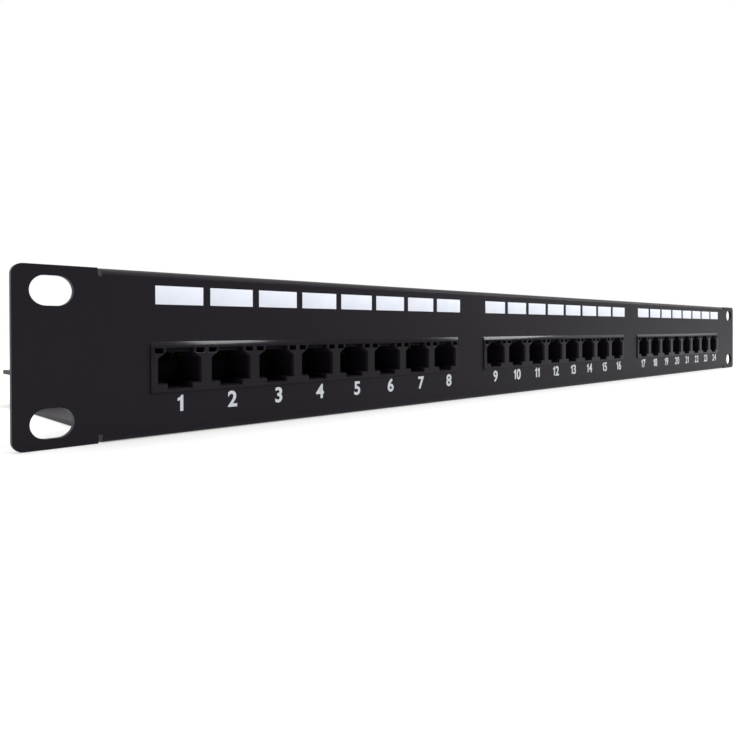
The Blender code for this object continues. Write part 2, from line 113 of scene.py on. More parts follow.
# White ink on the face
INK = 0.06 * MM
LABEL_SIZE = (14.0 * MM, 5.0 * MM)
LABEL_BOTTOM = 35.2 * MM
LABEL_PITCH = 16.23 * MM
INK_SHIFT = 1.44 * MM
DIGIT_HEIGHT = 4.4 * MM
DIGIT_BOTTOM = 6.2 * MM
DIGIT_STROKE = 0.16 * MM
DIGIT_GAP = 0.5 * MM
DIGIT_SHARE = 0.7  # of the font's size, the height of its digits
ONE_FOOT = [(-0.45 * MM, 0.0), (0.45 * MM, 0.0)]
ONE_TOP = [(0.45 * MM, DIGIT_HEIGHT), (-0.1 * MM, DIGIT_HEIGHT)]
ONE_FLAG = [(-0.35 * MM, 3.95 * MM), (-1.2 * MM, 3.55 * MM), (-1.2 * MM, 2.75 * MM), (-0.45 * MM, 3.05 * MM)]

# Pan-head screws
SCREW_HEAD = 5.5 * MM
SCREW_RISE = 2.0 * MM
SCREW_CROWN = 1.0 * MM
SCREW_SEAT = 0.12 * MM
SCREW_EDGE = 0.05 * MM
SCREW_SPIN = math.radians(37)
SCREW_THREAD = 3.0 * MM
THREAD_PITCH = 0.5 * MM
THREAD_DEPTH = 0.22 * MM
THREAD_GROOVE = (0.1, 0.5, 0.9)  # core, crest and core, as shares of the pitch
TURNED_STEPS = 40
RECESS_WIDTH = 0.75 * MM
RECESS_REACH = 1.65 * MM
RECESS_DEPTH = 1.3 * MM
RECESS_TAPER = 0.45  # of the recess's width at its top, the width at its floor

# Punch-down blocks
BLOCK_PAIRS = 8
BLOCK_BASE = 6.0 * MM
TOOTH = 10.0 * MM
SHORT_TOOTH = 8.0 * MM
WIRE_SLOT = 0.9 * MM
TOOTH_POINT = (0.75 * MM, 1.9 * MM)
BLOCK_EDGE = 0.22 * MM
CLIP_GAP = 0.16 * MM
CLIP_OVERLAP = 0.3 * MM
CLIP_HALF = 0.28 * MM
CLIP_LENGTH = 6.2 * MM
CLIP_LEAD = 0.8 * MM
MARK = (3.0 * MM, 3.4 * MM, 0.06 * MM)
MARK_START = 1.4 * MM

# Solder joints on the back of the boards: each port's eight pins in two staggered rows
PIN_PITCH = 1.27 * MM
PIN_ROWS = (-1.3 * MM, 1.3 * MM)
JOINT_RADIUS = 0.62 * MM
JOINT_HEIGHT = 0.9 * MM
JOINT_TIP = (0.25, 0.92)  # shares of the radius and the height
JOINT_WAIST = (0.4, 0.45)
JOINT_ROOT = 0.1 * MM
JOINT_STEPS = 10

# Studio light: over a stretch of the direction's Y or Z, it goes from the first level to the second
FRONT_LIGHT = ((-0.5, -0.1), (0.25, 1.0))
OVERHEAD_LIGHT = ((0.35, 1.0), (0.0, 1.2))
FLOOR_GREY = 0.5
FLOOR_GLOW = 0.34
FLOOR_HALF = 6.0
FLOOR_DROP = 0.05 * MM
BACKDROP_RADIUS = 5.0

# Each softbox's place, the side of its square and its power
SOFTBOXES = {
    "overhead": ((0.1, -0.1, 0.9), 1.2, 4.0),
    "front_softbox": ((0.905, -0.575, 0.508), 0.20, 2.2),
    "near_softbox": ((0.415, -0.834, 0.712), 0.14, 2.8),
    "far_softbox": ((1.412, -0.498, 0.498), 0.42, 0.9),
}

# Camera
CAMERA_PLACE = (-280.53 * MM, -218.67 * MM, 27.93 * MM)
CAMERA_YAW = math.radians(42.871)
CAMERA_PITCH = math.radians(-0.194)
CAMERA_ROLL = math.radians(-0.223)
CAMERA_LENS = 31.11
CAMERA_SENSOR = 36.0
CAMERA_SHIFT = -0.0476


# ---------------------------------------------------------------- materials


class Nodes:
    """A small helper that adds and joins shader nodes."""

    def __init__(self, name):
        self.material = bpy.data.materials.new(name)
        self.material.use_nodes = True
        self.tree = self.material.node_tree
        self.shader = self.tree.nodes["Principled BSDF"]
        self.place = self.tree.nodes.new("ShaderNodeTexCoord").outputs["Object"]

    def add(self, kind, **settings):
        node = self.tree.nodes.new(kind)
        for key, value in settings.items():
            setattr(node, key, value)
        return node

    def join(self, output, socket):
        self.tree.links.new(output, socket)

    def noise(self, size, detail=2.0, roughness=0.5):
        """Noise whose features are about size across."""
        node = self.add("ShaderNodeTexNoise")
        node.inputs["Scale"].default_value = 1.0 / size
        node.inputs["Detail"].default_value = detail
        node.inputs["Roughness"].default_value = roughness
        self.join(self.place, node.inputs["Vector"])
        return node.outputs["Fac"]

    def ramp(self, factor, low, high, start=0.3, end=0.7):
        """Colours or greys from low to high as the factor goes from start to end."""
        node = self.add("ShaderNodeMapRange", clamp=True)
        node.inputs["From Min"].default_value = start
        node.inputs["From Max"].default_value = end
        node.inputs["To Min"].default_value = low
        node.inputs["To Max"].default_value = high
        self.join(factor, node.inputs["Value"])
        return node.outputs["Result"]

    def blend(self, factor, first, second):
        node = self.add("ShaderNodeMix", data_type="RGBA")
        self.join(factor, node.inputs["Factor"])
        start, end = [socket for socket in node.inputs if socket.type == "RGBA"]
        start.default_value = (*first, 1.0)
        end.default_value = (*second, 1.0)
        return next(socket for socket in node.outputs if socket.type == "RGBA")

    def bump(self, height, distance, strength=1.0, under=None):
        node = self.add("ShaderNodeBump")
        node.inputs["Strength"].default_value = strength
        node.inputs["Distance"].default_value = distance
        self.join(height, node.inputs["Height"])
        if under is not None:
            self.join(under, node.inputs["Normal"])
        return node.outputs["Normal"]


def moulded(name, first, second, roughness, specular, grain, depth, metallic=0.0, drift=14 * MM):
    """A surface whose colour drifts slowly between two tones, with a fine grain in relief and gloss."""
    made = Nodes(name)
    slow = made.ramp(made.noise(drift, 3.0), 0.0, 1.0)
    fine = made.noise(grain, 2.0)
    made.join(made.blend(slow, first, second), made.shader.inputs["Base Color"])
    made.join(made.ramp(fine, *roughness), made.shader.inputs["Roughness"])
    made.join(made.bump(fine, depth), made.shader.inputs["Normal"])
    made.shader.inputs["Metallic"].default_value = metallic
    made.shader.inputs["Specular IOR Level"].default_value = specular
    return made.material


def powder_coat():
    """Satin black powder coat: an orange peel about half a millimetre across, and finer grit on it."""
    made = Nodes("powder_coat")
    peel = made.noise(0.9 * MM, 1.0)
    grit = made.noise(0.16 * MM, 2.0)
    slow = made.ramp(made.noise(60 * MM, 3.0), 0.0, 1.0)
    colour = made.blend(slow, (0.0082, 0.0056, 0.0092), (0.0086, 0.0070, 0.0112))
    made.join(colour, made.shader.inputs["Base Color"])
    made.join(made.ramp(grit, 0.40, 0.50), made.shader.inputs["Roughness"])
    coarse = made.bump(peel, 0.030 * MM, 0.6)
    made.join(made.bump(grit, 0.006 * MM, 0.5, coarse), made.shader.inputs["Normal"])
    made.shader.inputs["Specular IOR Level"].default_value = 0.13
    return made.material


def circuit_board():
    """Green solder mask over copper tracks, which show as slightly raised lighter lines."""
    made = Nodes("solder_mask")
    tracks = made.add("ShaderNodeTexWave", wave_type="BANDS", bands_direction="X", wave_profile="TRI")
    tracks.inputs["Scale"].default_value = 160.0
    tracks.inputs["Distortion"].default_value = 1.4
    tracks.inputs["Detail"].default_value = 0.0
    tracks.inputs["Detail Scale"].default_value = 0.4
    made.join(made.place, tracks.inputs["Vector"])
    track = made.ramp(tracks.outputs["Fac"], 0.0, 1.0, 0.62, 0.70)
    colour = made.blend(track, (0.010, 0.070, 0.028), (0.020, 0.135, 0.050))
    made.join(colour, made.shader.inputs["Base Color"])
    made.join(made.bump(track, 0.035 * MM), made.shader.inputs["Normal"])
    made.join(made.ramp(made.noise(4 * MM), 0.24, 0.34), made.shader.inputs["Roughness"])
    made.shader.inputs["Specular IOR Level"].default_value = 0.5
    return made.material


POWDER_COAT = powder_coat()
SOLDER_MASK = circuit_board()
JACK_PLASTIC = moulded(
    "jack_plastic", (0.0125, 0.0108, 0.0140), (0.0150, 0.0128, 0.0166),
    roughness=(0.08, 0.12), specular=0.07, grain=0.35 * MM, depth=0.001 * MM)
# A darker copy of the jack plastic for the ports, chambers and windows: painted shade inside the hollows
JACK_INSIDE_SHADE = moulded(
    "jack_inside_painted_shade", (0.0075, 0.0052, 0.0100), (0.0100, 0.0072, 0.0130),
    roughness=(0.55, 0.7), specular=0.06, grain=0.3 * MM, depth=0.01 * MM)
CARRIER_PLASTIC = moulded(
    "carrier_plastic", (0.010, 0.009, 0.011), (0.013, 0.012, 0.014),
    roughness=(0.4, 0.5), specular=0.3, grain=0.3 * MM, depth=0.005 * MM)
WHITE_INK = moulded(
    "white_ink", (0.69, 0.725, 0.80), (0.74, 0.765, 0.84),
    roughness=(0.5, 0.6), specular=0.2, grain=0.25 * MM, depth=0.008 * MM, drift=5 * MM)
NUMBER_INK = moulded(
    "number_ink", (0.52, 0.54, 0.58), (0.58, 0.60, 0.64),
    roughness=(0.5, 0.6), specular=0.2, grain=0.25 * MM, depth=0.008 * MM, drift=5 * MM)
GOLD = moulded(
    "gold_wire", (0.85, 0.60, 0.22), (0.93, 0.70, 0.30),
    roughness=(0.16, 0.26), specular=0.5, grain=0.2 * MM, depth=0.002 * MM, metallic=1.0)
SOLDER = moulded(
    "solder", (0.60, 0.60, 0.60), (0.74, 0.74, 0.73),
    roughness=(0.2, 0.4), specular=0.5, grain=0.5 * MM, depth=0.03 * MM, metallic=1.0)
BLOCK_PLASTIC = moulded(
    "block_plastic", (0.70, 0.67, 0.57), (0.76, 0.73, 0.64),
    roughness=(0.36, 0.48), specular=0.5, grain=0.3 * MM, depth=0.008 * MM)
TIN = moulded(
    "tin_clip", (0.66, 0.65, 0.62), (0.78, 0.77, 0.74),
    roughness=(0.24, 0.36), specular=0.5, grain=0.4 * MM, depth=0.004 * MM, metallic=1.0)
ZINC = moulded(
    "zinc_plate", (0.56, 0.58, 0.62), (0.68, 0.69, 0.70),
    roughness=(0.24, 0.4), specular=0.5, grain=0.25 * MM, depth=0.006 * MM, metallic=1.0, drift=2 * MM)
PAIR_TONES = {
    "blue": ((0.02, 0.09, 0.42), (0.03, 0.12, 0.48)),
    "orange": ((0.75, 0.20, 0.02), (0.82, 0.25, 0.03)),
    "green": ((0.02, 0.28, 0.06), (0.03, 0.33, 0.08)),
    "brown": ((0.14, 0.055, 0.02), (0.18, 0.07, 0.03)),
}
PAIR_COLOURS = [
    moulded(f"mark_{name}", *tones, roughness=(0.4, 0.5), specular=0.5, grain=0.3 * MM, depth=0.004 * MM)
    for name, tones in PAIR_TONES.items()
]


# ------------------------------------------------------------- mesh helpers


def finish(bm, name, *materials):
    bmesh.ops.recalc_face_normals(bm, faces=bm.faces[:])
    mesh = bpy.data.meshes.new(name)
    bm.to_mesh(mesh)
    bm.free()
    for made in materials:
        mesh.materials.append(made)
    obj = bpy.data.objects.new(name, mesh)
    bpy.context.scene.collection.objects.link(obj)
    return obj


def add_prism(bm, outline, axis, start, end, spread=0.0):
    """Add a closed prism on the outline. The far end may be a little larger or smaller all round."""
    turns = {"X": lambda a, b, c: (c, a, b), "Y": lambda a, b, c: (a, c, b), "Z": lambda a, b, c: (a, b, c)}
    at = turns[axis]
    base = bm.faces.new([bm.verts.new(at(a, b, start)) for a, b in outline])
    grown = bmesh.ops.extrude_face_region(bm, geom=[base])
    far = [item for item in grown["geom"] if isinstance(item, bmesh.types.BMVert)]
    bmesh.ops.translate(bm, verts=far, vec=at(0.0, 0.0, end - start))
    if spread:
        low = [min(point[k] for point in outline) for k in (0, 1)]
        high = [max(point[k] for point in outline) for k in (0, 1)]
        middle = [(a + b) / 2 for a, b in zip(low, high)]
        scale = [1 + 2 * spread / (b - a) for a, b in zip(low, high)]
        space = Matrix.Translation(-Vector(at(*middle, 0.0)))
        bmesh.ops.scale(bm, verts=far, vec=at(*scale, 1.0), space=space)


def add_box(bm, low, high):
    middle = (Vector(low) + Vector(high)) / 2
    size = Vector(high) - Vector(low)
    place = Matrix.Translation(middle) @ Matrix.Diagonal((*size, 1.0))
    return bmesh.ops.create_cube(bm, size=1.0, matrix=place)["verts"]


def arc(centre, radius, first, last, steps):
    """Points on an arc between two angles in degrees, both ends included."""
    points = []
    for step in range(steps + 1):
        angle = math.radians(first + (last - first) * step / steps)
        points.append((centre[0] + radius * math.cos(angle), centre[1] + radius * math.sin(angle)))
    return points


def cut(obj, *cutters):
    for cutter in cutters:
        step = obj.modifiers.new(cutter.name, "BOOLEAN")
        step.operation = "DIFFERENCE"
        step.object = cutter
        step.solver = "EXACT"
        step.material_mode = "TRANSFER"


def soften(obj, radius, segments=2, angle=35):
    """Round every edge sharper than the angle."""
    step = obj.modifiers.new("edges", "BEVEL")
    step.width = radius
    step.segments = segments
    step.limit_method = "ANGLE"
    step.angle_limit = math.radians(angle)
    step.miter_outer = "MITER_SHARP"
    step.use_clamp_overlap = True


def apply_modifiers(obj, smooth=30):
    """Bake the modifiers into the mesh, and shade it smooth except at edges sharper than the angle."""
    bpy.context.view_layer.update()
    graph = bpy.context.evaluated_depsgraph_get()
    mesh = bpy.data.meshes.new_from_object(obj.evaluated_get(graph), depsgraph=graph)
    obj.modifiers.clear()
    obj.data = mesh
    shade(obj, smooth)
    return obj


def shade(obj, angle=30):
    obj.data.polygons.foreach_set("use_smooth", [True] * len(obj.data.polygons))
    obj.data.set_sharp_from_angle(angle=math.radians(angle))
    obj.data.update()


def remove(*objects):
    for obj in objects:
        bpy.data.objects.remove(obj)


def copy_at(first, name, place):
    obj = bpy.data.objects.new(name, first.data)
    obj.location = place
    bpy.context.scene.collection.objects.link(obj)
    return obj


# ------------------------------------------------------------------- pieces


def dress_frame_node(name, material, radius):
    """A folded or sawn piece keeps its own shape and gets its finish and softly rounded edges."""
    node = frame["nodes"][name]
    node.data.materials.clear()
    node.data.materials.append(material)
    weld = node.modifiers.new("weld", "WELD")
    weld.merge_threshold = WELD
    flats = node.modifiers.new("flats", "DECIMATE")
    flats.decimate_type = "DISSOLVE"
    flats.angle_limit = math.radians(0.5)
    soften(node, radius, 2, 30)
    node.data.polygons.foreach_set("use_smooth", [True] * len(node.data.polygons))
    normals = node.modifiers.new("normals", "WEIGHTED_NORMAL")
    normals.keep_sharp = True


def port_outline(middle):
    half = [(LATCH_HALF, LATCH_BOTTOM), (LATCH_HALF, PORT_BOTTOM)]
    half += [(PORT_HALF, PORT_BOTTOM), (PORT_HALF, SHOULDER)]
    half += [(NECK_HALF, NECK_SHOULDER), (NECK_HALF, NECK_TOP)]
    return [(middle + x, z) for x, z in half] + [(middle - x, z) for x, z in reversed(half)]


def housing_profile(low, high):
    """Side view of the moulding: nose with a sloping upper edge, and the body behind the panel."""
    front = FACE - NOSE_PROUD
    bottom = NOSE_BOTTOM_RADIUS
    shoulder = FACE + SHOULDER_DEPTH
    points = [(FACE, NOSE_TOP), (front, NOSE_SLOPE_BOTTOM)]
    points += arc((front + bottom, NOSE_BOTTOM + bottom), bottom, 180, 270, 4)
    points += [(shoulder, NOSE_BOTTOM), (shoulder, low.z), (high.y, low.z)]
    points += [(high.y, high.z), (shoulder, high.z), (shoulder, NOSE_TOP)]
    return points


def build_housings():
    """Each ganged housing has eight ports with a lead-in, a latch step, shoulders and a contact chamber."""
    low, high = HOUSINGS[0]
    bm = bmesh.new()
    half = HOUSING_WIDTH / 2 + NOSE_SIDE
    add_prism(bm, housing_profile(low, high), "X", -half, half)
    first = finish(bm, "housing_1", JACK_PLASTIC)
    lead_ins, pockets, chambers, windows = (bmesh.new() for _ in range(4))
    front = FACE - NOSE_PROUD
    for port in range(PORTS_PER_GROUP):
        middle = (port - (PORTS_PER_GROUP - 1) / 2) * PORT_PITCH
        outline = port_outline(middle)
        add_prism(lead_ins, outline, "Y", front + LEAD_IN_DEPTH, front - LEAD_IN_DEPTH, 2 * LEAD_IN)
        add_prism(pockets, outline, "Y", front - LEAD_IN_DEPTH, FACE + PORT_DEPTH)
        chamber = (middle - CHAMBER_HALF, FACE + CHAMBER_FRONT, SHOULDER)
        add_box(chambers, chamber, (middle + CHAMBER_HALF, FACE + CHAMBER_BACK, CHAMBER_TOP))
        for side in (-1, 1):
            left, right = sorted((middle + side * WINDOW_X[0], middle + side * WINDOW_X[1]))
            corner = (left, front - LEAD_IN_DEPTH, WINDOW_Z[0])
            add_box(windows, corner, (right, FACE + WINDOW_DEPTH, WINDOW_Z[1]))
    cutters = [finish(lead_ins, "lead_ins", JACK_PLASTIC)]
    # The hollows take the darker plastic, which is painted shade in the ports, chambers and windows
    cutters += [finish(hollow, "inside", JACK_INSIDE_SHADE) for hollow in (pockets, chambers, windows)]
    cut(first, *cutters)
    soften(first, MOULDING_EDGE, 2, MOULDING_ANGLE)
    apply_modifiers(first, MOULDING_SHARP)
    remove(*cutters)
    for group, (low, high) in enumerate(HOUSINGS):
        middle = Vector(((low.x + high.x) / 2, 0.0, 0.0))
        piece = copy_at(first, f"ganged_housing_{group + 1}", middle)
        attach(piece, "panel")
        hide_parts(f"jack_housing_{group + 1}")
    remove(first)


def wire_points():
    """A wire's line in its own plane: back from the hinge and down, bowed upward on the way."""
    points = []
    for step in range(WIRE_POINTS):
        share = step / (WIRE_POINTS - 1)
        along = share * WIRE_LENGTH
        rise = WIRE_BOW * math.sin(math.pi * share)
        back = along * math.cos(CONTACT_SLOPE) + rise * math.sin(CONTACT_SLOPE)
        up = rise * math.cos(CONTACT_SLOPE) - along * math.sin(CONTACT_SLOPE)
        points.append((back, up))
    return points


def build_contacts():
    """Eight gold wires on a black carrier, one comb to a port, each on its own spring body."""
    curve = bpy.data.curves.new("wires", "CURVE")
    curve.dimensions = "3D"
    curve.bevel_depth = WIRE_RADIUS
    curve.bevel_resolution = 2
    curve.use_fill_caps = True
    for wire in range(WIRES):
        x = (wire - (WIRES - 1) / 2) * WIRE_PITCH
        spline = curve.splines.new("POLY")
        points = wire_points()
        spline.points.add(len(points) - 1)
        for point, (back, up) in zip(spline.points, points):
            point.co = (x, back, up, 1.0)
    curve.materials.append(GOLD)
    wires = bpy.data.objects.new("wires", curve)
    bpy.context.scene.collection.objects.link(wires)
    mesh = bpy.data.meshes.new_from_object(wires.evaluated_get(bpy.context.evaluated_depsgraph_get()))
    remove(wires)
    bm = bmesh.new()
    bm.from_mesh(mesh)
    bmesh.ops.remove_doubles(bm, verts=bm.verts[:], dist=WELD)
    size = Vector(CARRIER) / 2
    bar = add_box(bm, -size, size)
    bmesh.ops.rotate(bm, verts=bar, cent=(0, 0, 0), matrix=Matrix.Rotation(-CONTACT_SLOPE, 3, "X"))
    for face in bm.faces:
        if all(vert in bar for vert in face.verts):
            face.material_index = 1
    first = finish(bm, "comb", GOLD, CARRIER_PLASTIC)
    shade(first)
    for number, (body, hinge) in enumerate(sorted(HINGES.items()), 1):
        comb = copy_at(first, f"contact_comb_{number:02d}", hinge)
        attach(comb, body)
        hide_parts(f"contacts_{number:02d}")
    remove(first)


def build_labels():
    """A white field over each port, for writing on."""
    half = LABEL_SIZE[0] / 2
    height = LABEL_SIZE[1]
    for group, (low, high) in enumerate(HOUSINGS):
        bm = bmesh.new()
        centre = (low.x + high.x) / 2 + INK_SHIFT
        for port in range(PORTS_PER_GROUP):
            x = centre + (port - (PORTS_PER_GROUP - 1) / 2) * LABEL_PITCH
            corner = (x - half, FACE - INK, LABEL_BOTTOM)
            add_box(bm, corner, (x + half, FACE + INK / 2, LABEL_BOTTOM + height))
        fields = finish(bm, f"label_fields_{group + 1}", WHITE_INK)
        soften(fields, INK / 2)
        apply_modifiers(fields)
        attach(fields, "panel")


def digit_mesh(digit):
    """One digit as a thin raised print, standing on z = 0. The one has a slanted flag at its top left."""
    if digit == "1":
        bm = bmesh.new()
        add_prism(bm, ONE_FOOT + ONE_TOP + ONE_FLAG, "Y", -INK / 2, INK / 2)
        glyph = finish(bm, "one", NUMBER_INK)
        mesh = glyph.data
        remove(glyph)
        return mesh
    curve = bpy.data.curves.new(f"digit_{digit}", "FONT")
    curve.body = digit
    curve.size = DIGIT_HEIGHT / DIGIT_SHARE
    curve.extrude = INK / 2
    curve.offset = DIGIT_STROKE
    text = bpy.data.objects.new("text", curve)
    bpy.context.scene.collection.objects.link(text)
    bpy.context.view_layer.update()
    mesh = bpy.data.meshes.new_from_object(text.evaluated_get(bpy.context.evaluated_depsgraph_get()))
    remove(text)
    mesh.transform(Matrix.Rotation(math.radians(90), 4, "X"))
    return mesh


def build_numbers():
    """Port numbers 1 to 24 under the ports."""
    digits = {digit: digit_mesh(digit) for digit in "0123456789"}
    number = 0
    for low, high in HOUSINGS:
        centre = (low.x + high.x) / 2 + INK_SHIFT
        for port in range(PORTS_PER_GROUP):
            number += 1
            bm = bmesh.new()
            edge = 0.0
            for digit in str(number):
                before = set(bm.verts)
                bm.from_mesh(digits[digit])
                added = list(set(bm.verts) - before)
                left = min(vert.co.x for vert in added)
                bmesh.ops.translate(bm, verts=added, vec=(edge - left, 0.0, 0.0))
                edge = max(vert.co.x for vert in added) + DIGIT_GAP
            bmesh.ops.remove_doubles(bm, verts=bm.verts[:], dist=WELD)
            middle = (edge - DIGIT_GAP) / 2
            bmesh.ops.translate(bm, verts=bm.verts[:], vec=(-middle, 0.0, 0.0))
            print_on = finish(bm, f"port_number_{number:02d}", NUMBER_INK)
            x = centre + (port - (PORTS_PER_GROUP - 1) / 2) * LABEL_PITCH
            print_on.location = (x, FACE - INK / 4, DIGIT_BOTTOM)
            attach(print_on, "panel")


def revolve(bm, profile, steps):
    """A closed solid turned about Z from a profile of (radius, height) that starts and ends on the axis."""
    rings = []
    for radius, height in profile[1:-1]:
        turn = [2 * math.pi * step / steps for step in range(steps)]
        rings.append([bm.verts.new((radius * math.cos(a), radius * math.sin(a), height)) for a in turn])
    for near, far in zip(rings, rings[1:]):
        for step in range(steps):
            after = (step + 1) % steps
            bm.faces.new((near[step], near[after], far[after], far[step]))
    for ring, (_, height) in ((rings[0], profile[0]), (rings[-1], profile[-1])):
        tip = bm.verts.new((0.0, 0.0, height))
        for step in range(steps):
            bm.faces.new((tip, ring[step], ring[(step + 1) % steps]))


def screw_profile(length):
    """Domed head, flat seat and a grooved shank that ends in a short chamfer."""
    head = SCREW_HEAD / 2
    shank = SCREW_THREAD / 2
    core = shank - THREAD_DEPTH
    crown = arc((head - SCREW_CROWN, SCREW_RISE - SCREW_CROWN), SCREW_CROWN, 80, 0, 6)
    points = [(0.0, SCREW_RISE)] + crown
    points += [(head, SCREW_SEAT), (head - SCREW_SEAT, 0.0), (core, 0.0)]
    turns = int((length - THREAD_PITCH) / THREAD_PITCH)
    for turn in range(turns):
        for radius, share in zip((core, shank, core), THREAD_GROOVE):
            points.append((radius, -(turn + share) * THREAD_PITCH))
    return points + [(core - THREAD_DEPTH, -length), (0.0, -length)]


def build_screw(name, length):
    """A pan-head screw with a cross recess, its seat at the origin and its shank below."""
    bm = bmesh.new()
    revolve(bm, screw_profile(length), TURNED_STEPS)
    screw = finish(bm, name, ZINC)
    bm = bmesh.new()
    half = RECESS_WIDTH / 2
    reach = RECESS_REACH
    floor = SCREW_RISE - RECESS_DEPTH
    above = SCREW_RISE + SCREW_CROWN
    cross = [(reach, -half), (reach, half), (half, half), (half, reach), (-half, reach), (-half, half)]
    cross += [(-x, -y) for x, y in cross]
    low = [bm.verts.new((x * RECESS_TAPER, y * RECESS_TAPER, floor)) for x, y in cross]
    high = [bm.verts.new((x, y, above)) for x, y in cross]
    bm.faces.new(low)
    bm.faces.new(high)
    for k in range(len(cross)):
        after = (k + 1) % len(cross)
        bm.faces.new((low[k], low[after], high[after], high[k]))
    recess = finish(bm, "recess", ZINC)
    cut(screw, recess)
    soften(screw, SCREW_EDGE, 2, 50)
    apply_modifiers(screw, 40)
    remove(recess)
    return screw


def build_screws():
    """Board screws point forward with their heads to the back, and tray screws point down."""
    for kind, turn in (("board", Matrix.Rotation(math.radians(-90), 4, "X")), ("tray", Matrix())):
        names = sorted(name for name in frame["nodes"] if name.startswith(f"{kind}_screw_"))
        low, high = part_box(names[0])
        along = high - low
        length = (along.y if kind == "board" else along.z) - SCREW_RISE
        first = build_screw(f"{kind}_screw", length)
        for number, name in enumerate(names, 1):
            low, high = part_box(name)
            seat = (low + high) / 2
            if kind == "board":
                seat.y = high.y - SCREW_RISE
            else:
                seat.z = high.z - SCREW_RISE
            screw = copy_at(first, f"pan_head_{name}", seat)
            spin = Matrix.Rotation(SCREW_SPIN * number, 4, "Z")
            screw.rotation_euler = (turn @ spin).to_euler()
            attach(screw, "panel")
            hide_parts(name)
        remove(first)


def block_outline(width, pitch):
    """A block from above: its base, and teeth with pointed tips that guide each wire into its slot."""
    half = WIRE_SLOT / 2
    inset, drop = TOOTH_POINT
    points = [(-width / 2, 0.0), (width / 2, 0.0)]
    right_tooth = BLOCK_BASE + TOOTH
    points += [(width / 2, right_tooth - inset), (width / 2 - inset, right_tooth)]
    for slot in reversed(range(2 * BLOCK_PAIRS)):
        middle = (slot + 0.5) * pitch - width / 2
        right = BLOCK_BASE + (TOOTH if slot % 2 else SHORT_TOOTH)
        left = BLOCK_BASE + (SHORT_TOOTH if slot % 2 else TOOTH)
        points += [(middle + half + inset, right), (middle + half, right - drop), (middle + half, BLOCK_BASE)]
        points += [(middle - half, BLOCK_BASE), (middle - half, left - drop), (middle - half - inset, left)]
    return points + [(-width / 2 + inset, right_tooth), (-width / 2, right_tooth - inset)]


def add_clip(bm, middle):
    """Two blades of a slotted tin clip, their lead-in edges facing each other across a wire's slot."""
    bottom = BLOCK_BASE - CLIP_OVERLAP
    top = BLOCK_BASE + CLIP_LENGTH
    inner = WIRE_SLOT / 2
    outer = inner + CLIP_OVERLAP
    for side in (-1, 1):
        blade = [(CLIP_GAP, bottom), (outer, bottom), (outer, top), (inner, top), (CLIP_GAP, top - CLIP_LEAD)]
        add_prism(bm, [(middle + side * x, y) for x, y in blade], "Z", -CLIP_HALF, CLIP_HALF)


def build_punch_down_blocks():
    """Ivory blocks with sixteen slots, a tin clip in each, and a colour for each pair on both long sides."""
    low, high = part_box("idc_block_01")
    size = high - low
    pitch = size.x / (2 * BLOCK_PAIRS)
    bm = bmesh.new()
    add_prism(bm, block_outline(size.x, pitch), "Z", -size.z / 2, size.z / 2)
    body = finish(bm, "body", BLOCK_PLASTIC)
    soften(body, BLOCK_EDGE, 2, 25)
    apply_modifiers(body)
    bm = bmesh.new()
    bm.from_mesh(body.data)
    remove(body)
    groups = [(bm.faces[:], 0)]
    for slot in range(2 * BLOCK_PAIRS):
        before = set(bm.faces)
        add_clip(bm, (slot + 0.5) * pitch - size.x / 2)
        groups.append((set(bm.faces) - before, 1))
    width, length, proud = MARK
    for pair in range(BLOCK_PAIRS):
        middle = (2 * pair + 1) * pitch - size.x / 2
        before = set(bm.faces)
        for side in (-1, 1):
            face = side * size.z / 2
            near = (middle - width / 2, MARK_START, face - proud)
            add_box(bm, near, (middle + width / 2, MARK_START + length, face + proud))
        groups.append((set(bm.faces) - before, 2 + pair % len(PAIR_COLOURS)))
    for faces, material in groups:
        for face in faces:
            face.material_index = material
    first = finish(bm, "block", BLOCK_PLASTIC, TIN, *PAIR_COLOURS)
    shade(first)
    for name in sorted(name for name in frame["nodes"] if name.startswith("idc_block_")):
        low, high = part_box(name)
        middle = (low + high) / 2
        block = copy_at(first, name.replace("idc_block", "punch_down_block"), (middle.x, low.y, middle.z))
        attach(block, "panel")
        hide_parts(name)
    remove(first)


def build_solder_joints():
    """Small shiny cones where the jacks' pins come through each board."""
    profile = [(0.0, JOINT_HEIGHT)]
    profile += [(radius * JOINT_RADIUS, height * JOINT_HEIGHT) for radius, height in (JOINT_TIP, JOINT_WAIST)]
    profile += [(JOINT_RADIUS, 0.0), (JOINT_RADIUS, -JOINT_ROOT), (0.0, -JOINT_ROOT)]
    turn = Matrix.Rotation(math.radians(-90), 4, "X")
    for group, (low, high) in enumerate(HOUSINGS):
        board_low, board_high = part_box(f"circuit_board_{group + 1}")
        height = (board_low.z + board_high.z) / 2
        bm = bmesh.new()
        for port in range(PORTS_PER_GROUP):
            centre = low.x + (port + 0.5) * PORT_PITCH
            for pin in range(WIRES):
                x = centre + (pin - (WIRES - 1) / 2) * PIN_PITCH
                before = set(bm.verts)
                revolve(bm, profile, JOINT_STEPS)
                place = Matrix.Translation((x, board_high.y, height + PIN_ROWS[pin % 2]))
                bmesh.ops.transform(bm, matrix=place @ turn, verts=list(set(bm.verts) - before))
        joints = finish(bm, f"solder_joints_{group + 1}", SOLDER)
        shade(joints, 50)
        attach(joints, "panel")


# ------------------------------------------------------------ stage and camera


